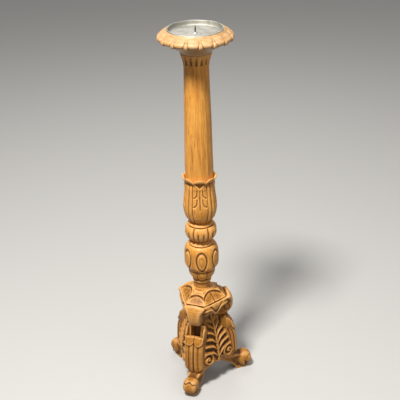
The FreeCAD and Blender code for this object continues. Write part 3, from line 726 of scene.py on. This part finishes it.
def make_column():
    """The fluted column with its dowel bores."""
    low, top = SHAFT_FOOT, SHAFT_HEAD
    foot = bored_foot("shaft_dowel", low, SHAFT_END, 4)
    side = outline(
        [
            (SHAFT_END, low),
            (34.2, low + 18),
            (33, low + 100),
            (31.2, low + 190),
            (29.2, low + 274),
            (29.2, low + 283),
            (30.2, low + 293),
            (32.2, low + 302),
            (34.6, low + 310),
            (FLARE_END, top),
        ],
        1.7,
    )
    head = bored_head("dish_dowel", top, FLARE_END, 4)
    points, faces = turned(np.concatenate([foot, side, head]), FLUTES * 22, flute)
    make_piece("fluted_column", points, faces, CARVED, ["column_shaft"], rounds=14)


make_column()

# %% [markdown]
# Under the column is a cup of four broad acanthus leaves, with a pair of reeds between each two. A leaf
# has a deep middle vein and two pairs of cuts, which leave the vein steeply and bend outwards. Its tip
# curls outwards over a dark hollow, and so does a tip over each pair of reeds. Radius is given as a
# function of angle and height, because a leaf that lies on a turned cup needs no undercut.

# %% Leaf calyx
LEAVES = 4
LEAF_EDGE = 28  # degrees from a leaf's middle line to its edge
CUT_STARTS = (98, 75)  # where the upper and the lower pair of cuts leave the vein
CUT_DROP = 21.5  # how far a cut falls before it reaches the leaf's edge
CUT_TURN = 9.5  # degrees from the vein to the start of a cut
REED_TURN = 36.6  # degrees from a leaf's middle line to the nearest reed's
CALYX_NECK = 23
SOCKET = 34.5  # the radius inside the tips
CALYX_FOOT = FOOT["leaf_calyx"]
CALYX_TOP = HEAD["leaf_calyx"]
LIP = CALYX_TOP - 16


def reed(distance, reach):
    """A half round section, 1 on its middle line and 0 out of its reach."""
    return np.sqrt(np.clip(1 - (distance / reach) ** 2, 0, 1))


def leaf_cuts(turn, up):
    """How deep the cuts are. They leave the vein steeply and bend out. A lobe lies lower over its cut."""
    bend = np.exp(-np.clip(turn - CUT_TURN, 0, None) / 4)
    depth = 0
    for start in CUT_STARTS:
        away = (up - start + CUT_DROP * (1 - bend)) / np.sqrt(1 + (8 * bend) ** 2)
        cut = 3.0 * bell(away, 1.6) + 0.8 * rise(away, 0, 2)
        depth = depth + cut * rise(up, start + 2.5, start - 1.5)
    return depth * rise(turn, 8.3, 9.8) * rise(turn, LEAF_EDGE - 1, LEAF_EDGE - 3.5)


def leaf_relief(turn, up):
    """How far the leaves stand out, in millimetres. Turn is the angle from the nearest leaf's middle."""
    edge = LEAF_EDGE - 6 * rise(up, 34, 4)
    reeds = 3.9 * reed(turn - REED_TURN, 8) - 2.1
    vein = rise(up, 44, 49) * rise(up, 103, 97) * (0.5 + 0.5 * rise(up, 85, 78))
    leaf = 1.9 * reed(turn, edge) ** 0.4 - 0.7 - leaf_cuts(turn, up) - 3.2 * vein * bell(turn, 2.0)
    return np.where(turn < edge, leaf, reeds) - 1.4 * bell(turn - edge - 0.4, 1.3)


def carve_leaves(angle, radius, height):
    """The leaves of the cup, with their tips curled outwards over a hollow."""
    turn = np.abs(from_nearest(angle, LEAVES))
    up = height - CALYX_FOOT
    outside = rise(up, 3, 14) * np.where(up < 60, rise(radius, 23, 25), rise(radius, 34.9, 35.3))
    under_lip = rise(up, 121, 114)
    inside = 1.35 * (up - 101) - turn
    cave = (3.4 * rise(inside, 0, 4) - 1.2 * bell(inside + 2.2, 2.2) * rise(up, 98, 102)) * under_lip
    cave = cave + 2.8 * bell(turn - 40, 10) * bell(up - 110, 5.5)
    relief = leaf_relief(turn, up) * rise(up, 115, 107) - cave
    wave = 2 * np.abs(np.cos(np.radians(LEAVES * turn))) ** 0.7 - 1
    lip = (height > LIP) & (radius > 34.7)
    raised = np.where(lip, LIP + (height - LIP) * (0.8 + 0.28 * wave), height)
    flare = np.clip(radius - 36, 0, None) * rise(up, 106, 113)
    return radius + flare * (0.15 + 0.25 * wave) + relief * outside, raised


def make_calyx():
    """The cup of leaves with its stem bore and the socket for the column."""
    low, top = CALYX_FOOT, CALYX_TOP
    seat = SHAFT_FOOT
    foot = bored_foot("stem_dowel", low, CALYX_NECK, 3)
    side = outline(
        [
            (CALYX_NECK, low),
            (25.5, low + 3.4),
            (31, low + 9),
            (35.4, low + 16),
            (38.4, low + 26),
            (40.4, low + 38),
            (40.6, low + 49),
            (39, low + 66),
            (37, low + 82),
            (35.9, low + 97),
            (35.6, low + 109),
            (36.8, low + 114),
            (39.4, low + 119),
            (40.6, low + 124),
            (40.3, top, CORNER),
            (38.2, top - 1),
            (36, top - 4.5),
            (SOCKET, seat + 1, CORNER),
        ],
        0.72,
    )
    head = bored_head("shaft_dowel", seat, SOCKET, 3)
    points, faces = turned(np.concatenate([foot, side, head]), LEAVES * 96, carve_leaves)
    make_piece("acanthus_calyx", points, faces, CALYX_WOOD, ["leaf_calyx"])


make_calyx()

# %% [markdown]
# The knop is a ball of six gadroons under a plain ring. A deep cut parts each two of them, and two
# small gouge cuts mark the lower half of each.

# %% Knop
GADROONS = 6
KNOP_FOOT = FOOT["knop"]


def carve_gadroons(angle, radius, height):
    """Six lobes with small flutes below."""
    turn = np.abs(from_nearest(angle, GADROONS))
    up = height - KNOP_FOOT
    ball = rise(up, 5, 10) * rise(up, 48, 45) * rise(radius, 24, 28)
    crown = 2.8 * reed(turn, 31) - 1.9
    cut = 3.0 * bell(turn - 30, 4.0)
    flutes = 2.6 * bell(turn - 10, 4.6) * rise(up, 39, 26)
    return radius + ball * (crown - cut - flutes), height


def make_knop():
    """The gadrooned ball under a wide ring."""
    low, top = KNOP_FOOT, HEAD["knop"]
    bore = half_width("stem_dowel") + BORE_PLAY
    profile = outline(
        [
            (bore, low, CORNER),
            (22, low, CORNER),
            (22.2, low + 4),
            (25, low + 6.6),
            (31, low + 10),
            (36, low + 15.4),
            (39, low + 22.5),
            (39.8, low + 30),
            (38.6, low + 38),
            (35.4, low + 44.6),
            (33, low + 46.6, CORNER),
            (29.4, low + 45.4, CORNER),
            (29.2, low + 46.8, CORNER),
            (31.4, low + 48.6),
            (31.8, low + 50.6),
            (30.2, low + 53),
            (26.5, low + 54.6),
            (24, top, CORNER),
            (bore, top, CORNER),
            (bore, low),
        ],
        0.75,
    )
    points, faces = turned(profile, 336, carve_gadroons)
    make_piece("gadroon_knop", points, faces, CARVED, ["knop"])


make_knop()

# %% [markdown]
# The baluster carries six oval bosses, each in an oval groove. A boss stands a little proud and hangs
# over the lower edge of the belly. Under the belly is a small cup of petals on a neck.

# %% Baluster
BOSSES = 6
PETALS = 8
BALUSTER_FOOT = FOOT["baluster"]
BALUSTER_END = 21.6  # the radius on the base cap
RING_TOP = 23.5  # the radius under the knop
BOSS_HEIGHT = 91  # from the baluster's foot to the middle of a boss


def carve_bosses(angle, radius, height):
    """Oval bosses in grooves, and petals on the cup below."""
    turn = from_nearest(angle, BOSSES)
    up = height - BALUSTER_FOOT
    across = 42 * np.radians(turn)
    along = up - BOSS_HEIGHT
    size = np.sqrt((across / (11.4 + 0.07 * along)) ** 2 + (along / 22) ** 2)
    belly = rise(radius, 30, 33) * rise(up, 126, 121) * rise(up, 58, 64)
    groove = 3.6 * bell(size - 1.16, 0.17) * belly
    land = 0.9 * bell(np.abs(turn) - 30, 8) * rise(up, 66, 74) * rise(up, 122, 112)
    petal = np.abs(from_nearest(angle, PETALS)) / (180 / PETALS)
    cup = rise(up, 27.5, 31) * rise(up, 65, 58) * rise(radius, 21.9, 23)
    lower_edge = 39 - 9 * reed(petal, 1)
    petals = 3.2 * reed(petal, 1.02) * rise(up - lower_edge, -0.5, 2) - 1.9
    body = radius - groove + land + petals * cup
    boss = 35 + 8.7 * reed(size, 1)
    return np.where((size < 1) & (radius > 27) & (up < 126), np.maximum(body, boss), body), height


def make_baluster():
    """The bellied section with its bosses."""
    low, top = BALUSTER_FOOT, HEAD["baluster"]
    foot = bored_foot("base_dowel", low, BALUSTER_END, 3)
    side = outline(
        [
            (BALUSTER_END, low),
            (21.2, low + 3, CORNER),
            (20.2, low + 4),
            (20.1, low + 13),
            (20.6, low + 19.6, CORNER),
            (22.8, low + 21.2),
            (23.8, low + 23.8),
            (22.6, low + 26.6, CORNER),
            (21.9, low + 27.6),
            (26.4, low + 34),
            (30.6, low + 42),
            (32.4, low + 50),
            (32.6, low + 57),
            (36.5, low + 62.5),
            (41.2, low + 69),
            (42.4, low + 80),
            (42.3, low + 106),
            (41.2, low + 116),
            (38.4, low + 124),
            (34.6, low + 128.4),
            (32.4, low + 129.2, CORNER),
            (28.8, low + 127.6, CORNER),
            (28.6, low + 129, CORNER),
            (30.8, low + 130.6),
            (31.2, low + 132.4),
            (29.6, low + 134.6),
            (26, low + 136.4),
            (RING_TOP, top, CORNER),
        ],
        0.78,
    )
    head = bored_head("stem_dowel", top, RING_TOP, 3)
    points, faces = turned(np.concatenate([foot, side, head]), 360, carve_bosses)
    make_piece("bossed_baluster", points, faces, CARVED, ["baluster"])


make_baluster()

# %% [markdown]
# The base is carved from blocks. A carver thinks in solids that meet, so these pieces start as distance
# fields: arrays that hold, at each spot, how far it lies from the surface. Solids join by taking the
# smaller distance, cuts take the larger one, and openvdb turns the field into a mesh.

# %% Carving from a block


def carved(low, high, step, shape):
    """Meshes the shape whose signed distance, in millimetres, is given at each spot of a grid."""
    axes = [np.arange(start, end + step, step, dtype=np.float32) for start, end in zip(low, high)]
    distance = shape(*np.meshgrid(*axes, indexing="ij")).astype(np.float32)
    grid = openvdb.FloatGrid(9.0)
    grid.copyFromArray(np.ascontiguousarray(distance))
    points, faces = grid.convertToQuads(isovalue=0.0)
    return points * step + np.array(low), faces


def joined(first, second, soft):
    """The union of two distances, with the seam between them filled over a soft width."""
    share = np.clip(0.5 + 0.5 * (second - first) / soft, 0, 1)
    return second * (1 - share) + first * share - soft * share * (1 - share)


def trimmed(first, second, soft):
    """What two distances have in common, with a rounded edge."""
    return -joined(-first, -second, soft)


def oval(across, along, deep, sizes):
    """About the distance from an ellipsoid with the given half sizes."""
    wide, long, thick = sizes
    spread = np.sqrt((across / wide) ** 2 + (along / long) ** 2 + (deep / thick) ** 2)
    slope = np.sqrt((across / wide**2) ** 2 + (along / long**2) ** 2 + (deep / thick**2) ** 2)
    return spread * (spread - 1) / np.maximum(slope, 0.001)


def turned_about(points, degrees):
    """Points turned about the stem's axis."""
    turn = math.radians(degrees)
    x = points[:, 0] * math.cos(turn) - points[:, 1] * math.sin(turn)
    y = points[:, 0] * math.sin(turn) + points[:, 1] * math.cos(turn)
    return np.stack([x, y, points[:, 2]], axis=1)


def curl(across, up, pitch, start=0.0):
    """0 along a spiral about the origin and up to half the pitch between its turns."""
    phase = np.hypot(across, up) / pitch - (np.arctan2(up, across) + start) / (2 * np.pi)
    return np.abs(phase - np.round(phase)) * pitch


def make_three(name, node, angles, points, faces, finish, rounds=24):
    """The same carving on three sides of the stem."""
    for side, angle in angles.items():
        places = turned_about(points, angle)
        nodes = [f"{node}_{side}"]
        make_piece(f"{name}_{side}", places, faces, finish, nodes, rounds=rounds)


print("solids can be joined and cut")

# %% [markdown]
# A foot is a wedge under the leg with a rolled toe. The upper half of the roll is a lap with a wavy
# edge, and under the roll lies a flat sole.

# %% Feet
TOE = (107.5, 25)
TOE_RADIUS = 20.8
TOE_HALF_WIDTH = 19.5


def foot_shape(x, y, z):
    """One foot. X runs outwards from the stem's axis and y across the foot."""
    out, up = x - TOE[0], z - TOE[1]
    reach = np.hypot(out, up)
    lean = np.degrees(np.arctan2(out, up))
    lap_edge = 38 - 8 * np.cos(y * 2 * np.pi / 20)
    lap = rise(lean, lap_edge + 2, lap_edge - 2)
    crease = bell(lean - lap_edge - 3, 5)
    roll_width = TOE_HALF_WIDTH - 3.5 * rise(lean, 95, 165)
    swell = (reach + 1.6 * crease - 0.9 * lap) / TOE_RADIUS
    barrel = (swell**3 + (np.abs(y) / roll_width) ** 3) ** (1 / 3)
    roll = (barrel - 1) * TOE_RADIUS * 0.85
    line = np.interp(x, [30, 66, 80, 92, 106], [46, 46.2, 45.8, 43, 40])
    arch = 38 * np.cos(np.pi / 2 * np.clip((x - 33) / 56, 0, 1))
    body_width = np.interp(x, [30, 66, 84, 100], [21.8, 20.5, 15.5, 13])
    body = trimmed(z - line, np.maximum(arch - z, np.maximum(34 - x, x - 106)), 1.5)
    body = trimmed(body, np.abs(y) - body_width, 4)
    sole_end = 118 - 0.05 * y**2
    sole = trimmed(z - np.interp(x, [80, 112, 120], [9, 7, 5]), np.maximum(82 - x, x - sole_end), 2.5)
    sole = trimmed(sole, np.abs(y) - np.interp(x, [80, 112, 120], [17, 13, 10]), 2)
    shape = joined(joined(roll, body, 1.5), sole, 1.0)
    return np.maximum(shape, -z)


def make_feet():
    """Three feet from one carving."""
    points, faces = carved((32, -24, -2), (132, 24, 52), 0.85, foot_shape)
    make_three("rolled_foot", "foot", LEG_ANGLES, points, faces, BASE_WOOD, 60)


make_feet()

# %% [markdown]
# A leg is a thick bracket with a bulging front of four reeds and a deep groove in the middle. Two round
# petals lap over the top of the reeds. Above them two cheeks with a side leaf stand beside a dark
# opening, and the lower edge is rounded.

# %% Legs
LEG_FOOT = FOOT["leg_front"]
PETAL_MIDDLE = (77.5, 146)
LEG_FRONT = {
    44: 77, 46: 80, 49: 82.5, 54: 85, 60: 86.8, 70: 87.8, 84: 87.4,
    100: 86.6, 118: 84.8, 130: 81.5, 140: 77, 150: 71.5, 158: 66.5, 166: 61,
}


def leg_shape(x, y, z):
    """One leg. X runs outwards from the stem's axis and y across the leg."""
    front = size_at(LEG_FRONT, z)
    width = np.abs(y)
    reeds = 4.6 * np.maximum(reed(width - 6.5, 6.4), 0.93 * reed(width - 18.7, 6.4))
    reeds = reeds - 0.004 * width**2 - 2.4 * bell(width, 1.8)
    top = np.interp(x, [42, 57, 64, 70], [138, 141, 150, 150])
    body = np.maximum((x - front + 4.2 - reeds) * 0.9, z - top)
    side_cuts = 1.8 * (bell(front - x - 9, 1.5) + bell(front - x - 18, 1.5)) * rise(z, 142, 130)
    body = trimmed(body, width - 24.8 + side_cuts, 2)
    out, up = x - PETAL_MIDDLE[0], z - PETAL_MIDDLE[1]
    along = out * 0.514 - up * 0.857
    deep = out * 0.857 + up * 0.514
    plan = ((np.abs(width - 12.3) / 12.6) ** 2.2 + (np.abs(along + 3) / 18) ** 2.2) ** (1 / 2.2)
    petals = trimmed((plan - 1) * 11, deep - 1.4 + 2.6 * plan**2, 1.6)
    petals = np.maximum(petals, np.maximum(z - 154, -6 - deep))
    side_leaf = oval(width - 23.4, z - 158 + 0.3 * (x - 57), x - 57, (4.6, 17.5, 14))
    cheeks = np.maximum(x - 62 + 0.2 * (z - 155), np.maximum(148 - z, z - 187 + 0.7 * (62 - x)))
    cheeks = trimmed(np.abs(width - 18.8) - 5.8, cheeks, 3)
    shape = joined(joined(body, petals, 0.8), joined(cheeks, side_leaf, 0.8), 0.8)
    lower_edge = LEG_FOOT + 0.1 + (0.01 + 0.028 * rise(x, 62, 78)) * width**2
    return np.maximum(shape, np.maximum(lower_edge - z, 42.2 - x))


def make_legs():
    """Three legs from one carving."""
    points, faces = carved((40, -30, 43), (95, 30, 196), 0.85, leg_shape)
    make_three("reeded_leg", "leg", LEG_ANGLES, points, faces, BASE_WOOD)


make_legs()

# %% [markdown]
# Between the legs sit three leaf panels. Each is one palmette: ribs rise from a stem on both sides and
# the lowest curl into volutes. The relief is shallow and has no undercuts, so a panel is a grid whose
# points are lifted from the board.

# %% Leaf panels
PANEL_FRONT = {46: 62.5, 73: 62.5, 108: 57.5, 134: 52.5, 158: 46, 172: 40, 184: 33.5, 196: 31}
PANEL_TOP = HEAD["leaf_panel_rear"]
PANEL_BACK = 20
VOLUTE_EYE = (34, 79)
RIB_START = 75
RIB_PITCH = 19


def palmette(y, z, edge):
    """The relief of a panel: ribs, volutes and a stem, in millimetres above the scoops."""
    width = np.abs(y)
    flow = z - 25 * (1 - np.exp(-width / 15))
    step = ((flow - RIB_START) / RIB_PITCH + 0.5) % 1 - 0.5
    ribs = 6.6 * (1 - np.abs(2 * step)) ** 2.1 * rise(flow, 62, 68) * rise(z, 184, 168)
    across, up = width - VOLUTE_EYE[0], z - VOLUTE_EYE[1]
    reach = np.hypot(across, up)
    winding = 6.6 * (1 - np.clip(curl(-across, up, 12.5, 1.2) / 6.2, 0, 1)) ** 1.3
    eye = 6.8 * reed(reach, 5)
    inside = rise(reach, 21, 18)
    relief = ribs * (1 - inside) + np.maximum(winding, eye) * inside
    relief = np.maximum(relief, 6 * reed(width, 4.2 - 1.4 * rise(z, 90, 180)))
    border = rise(width, edge - 8, edge - 2)
    return relief * (1 - border) - 2.5 * border


def panel_edge(front):
    """Half the room between two legs, at a distance from the stem's axis."""
    return np.maximum(1.732 * front - 50.2, 23.7)


def panel_grid(rows, columns):
    """The carved face of a panel and its back, as two grids of points."""
    share = np.linspace(0, 1, rows)[:, None]
    side = np.linspace(-1, 1, columns)[None, :]
    wide = np.abs(side * panel_edge(62))
    lower = 54 + 10 * bell(wide - 17, 8) + 9 * bell(wide, 6)
    z = lower + (PANEL_TOP - lower) * share
    front = size_at(PANEL_FRONT, z)
    edge = panel_edge(front)
    y = side * edge
    face = np.stack([front - 5 + palmette(y, z, edge), y, z], axis=-1)
    back = np.stack([np.full_like(z, PANEL_BACK), np.clip(y, -20, 20), z], axis=-1)
    return face, back


def make_panels():
    """Three palmette panels from one grid."""
    rows, columns = 170, 150
    face, back = panel_grid(rows, columns)
    points = np.concatenate([face, back[:, ::-1]], axis=1).reshape(-1, 3)
    faces = [grid_faces(rows, columns * 2, True)]
    index = np.arange(rows * columns * 2).reshape(rows, -1)
    for row in (0, rows - 1):
        near, far = index[row, :columns], index[row, columns:][::-1]
        faces.append(np.stack([near[:-1], far[:-1], far[1:], near[1:]], axis=-1))
    make_three("palmette_panel", "leaf_panel", PANEL_ANGLES, points, np.concatenate(faces), PANEL_WOOD)


make_panels()

# %% [markdown]
# The base cap joins the round stem to the three legs. Stippled fields slope down from a small plate with
# a scalloped edge. Over each leg a wide hood narrows to a tongue, with a scroll cut into each side.
# Between the arms hangs a skirt whose lip arches up from a pendant. The cap repeats six times, every
# second time mirrored, so the shape is worked out on one sixth and folded.

# %% Base cap
CAP_FOOT = FOOT["base_cap"]
CAP_TOP = HEAD["base_cap"]
FIELD_FOOT = 241.5
FIELD_REACH = 57  # how far the fields reach out over an arm
FIELD_GAP = 50.5  # and between two arms
HOOD_TOP = 238
HOOD_CREST = 8.5  # how far the middle of an arm rises over the hood's edge
ARM_REACH = {
    182: 57, 184: 64, 188: 70, 194: 75, 202: 78, 210: 79,
    218: 79, 226: 77.8, 233: 75.5, 239: 72, 243: 68.5, 247: 63,
}
ARM_WIDTH = {180: 12, 190: 14, 199: 15.5, 210: 16.8, 222: 18.8, 229: 22.5, 236: 27.5, 241: 31, 247: 33}
ARM_BEND = {200: 0.014, 225: 0.009, 242: 0.005}
GAP_REACH = {200: 48, 207: 50.5, 215: 53, 225: 54.8, 232: 54.5, 239: 52.5}
SCROLL_EYE = (58, 203)


def stipple(shape):
    """Small uneven dents on a grid, the same at each run."""
    dents = np.random.default_rng(5).normal(0, 1, shape)
    for axis in range(3):
        dents = dents + np.roll(dents, 1, axis)
    return dents / 2.83


def fields_shape(out, side, gap_out, gap_side, z):
    """The plate and the six sloping stippled fields that hang from its scalloped edge."""
    plate_edge = np.maximum(out - 37 - 0.0175 * side**2, gap_out - 27.4 - 0.0131 * gap_side**2)
    plate_top = CAP_TOP - 0.3 * np.clip(np.hypot(out, side) - 23, 0, None)
    plate = trimmed(plate_edge, np.maximum(z - plate_top, FIELD_FOOT - z), 0.8)
    face = 0.69 * np.maximum(out - FIELD_REACH, gap_out - FIELD_GAP) + 0.72 * (z - FIELD_FOOT)
    punched = rise(plate_edge, 3, 5) * rise(z, FIELD_FOOT + 1, FIELD_FOOT + 4)
    face = face + 0.11 * stipple(z.shape) * punched + 1.8 * bell(plate_edge - 1.4, 1.2)
    face = face + 1.5 * bell(gap_side, 1.5) * rise(plate_edge, 2, 5)
    return np.minimum(plate, trimmed(face, FIELD_FOOT - z, 1.2))


def arm_shape(out, side, z):
    """One arm: a wide hood that narrows to a tongue, with a scroll cut into its sides."""
    eye = np.hypot(out - SCROLL_EYE[0], z - SCROLL_EYE[1])
    spiral = curl(out - SCROLL_EYE[0], z - SCROLL_EYE[1], 9, 0.4)
    scroll = 1.7 * bell(spiral, 1.3) * rise(eye, 3, 5) * rise(eye, 13, 11)
    front = out - size_at(ARM_REACH, z) + size_at(ARM_BEND, z) * side**2
    crest = HOOD_TOP + np.clip(out - FIELD_REACH, 0, HOOD_CREST) * np.clip(1 - (side / 34) ** 2, 0, 1)
    front = trimmed(front * 0.8, (z - crest) * 0.75, 3)
    return trimmed(front, (side - size_at(ARM_WIDTH, z) + scroll) * 0.7, 5)


def skirt_shape(out, gap_out, gap_side, z):
    """The hood's skirt between two arms. Its lip arches up from a pendant in the middle."""
    edge = 207 + 20 * (1 - bell(gap_side, 12))
    grooves = 2.2 * bell(z - edge - 8.5, 2.2) * rise(gap_side, 24, 16)
    ring = trimmed(gap_out - size_at(GAP_REACH, z) + grooves, out - 60, 9)
    skirt = trimmed(ring, np.maximum(edge - z, z - HOOD_TOP), 1.5)
    lip = np.hypot(ring + 1.0, (z - edge) * 0.8) - 3
    return joined(skirt, lip, 1)


def cap_shape(x, y, z):
    """The cap, folded about its arms."""
    reach = np.hypot(x, y)
    turn = np.degrees(np.arctan2(y, x)) - LEG_ANGLES["front"]
    turn = np.radians(np.abs((turn + 60) % 120 - 60))
    out, side = reach * np.cos(turn), reach * np.sin(turn)
    gap_out, gap_side = reach * np.cos(np.pi / 3 - turn), reach * np.sin(np.pi / 3 - turn)
    core = np.maximum(np.maximum(gap_out - 32, out - 44), np.maximum(CAP_FOOT + 0.1 - z, z - 250))
    neck = np.maximum(np.maximum(gap_out - 45, out - 51), np.abs(z - 239) - 5)
    shape = np.minimum(fields_shape(out, side, gap_out, gap_side, z), np.minimum(core, neck))
    shape = np.minimum(shape, joined(arm_shape(out, side, z), skirt_shape(out, gap_out, gap_side, z), 5))
    return np.maximum(shape, z - CAP_TOP)


def make_cap():
    """The three armed cap."""
    points, faces = carved((-82, -84, 181), (82, 62, 269), 0.95, cap_shape)
    make_piece("volute_cap", points, faces, CAP_WOOD, ["base_cap"], rounds=60)


make_cap()

# %% [markdown]
# The inner block and the dowels never show in the assembled stand. They keep their solids and get bare
# wood, so that an opened model looks right as well.

# %% Hidden pieces
HIDDEN = ["pedestal_core", "dish_dowel", "shaft_dowel", "stem_dowel", "base_dowel"]
HIDDEN += ["cap_dowels", "leg_dowels", "foot_dowels"]
for hidden in HIDDEN:
    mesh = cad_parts[hidden].data
    mesh.materials.clear()
    mesh.materials.append(BARE_WOOD)
print("bare wood on", len(HIDDEN), "hidden pieces")
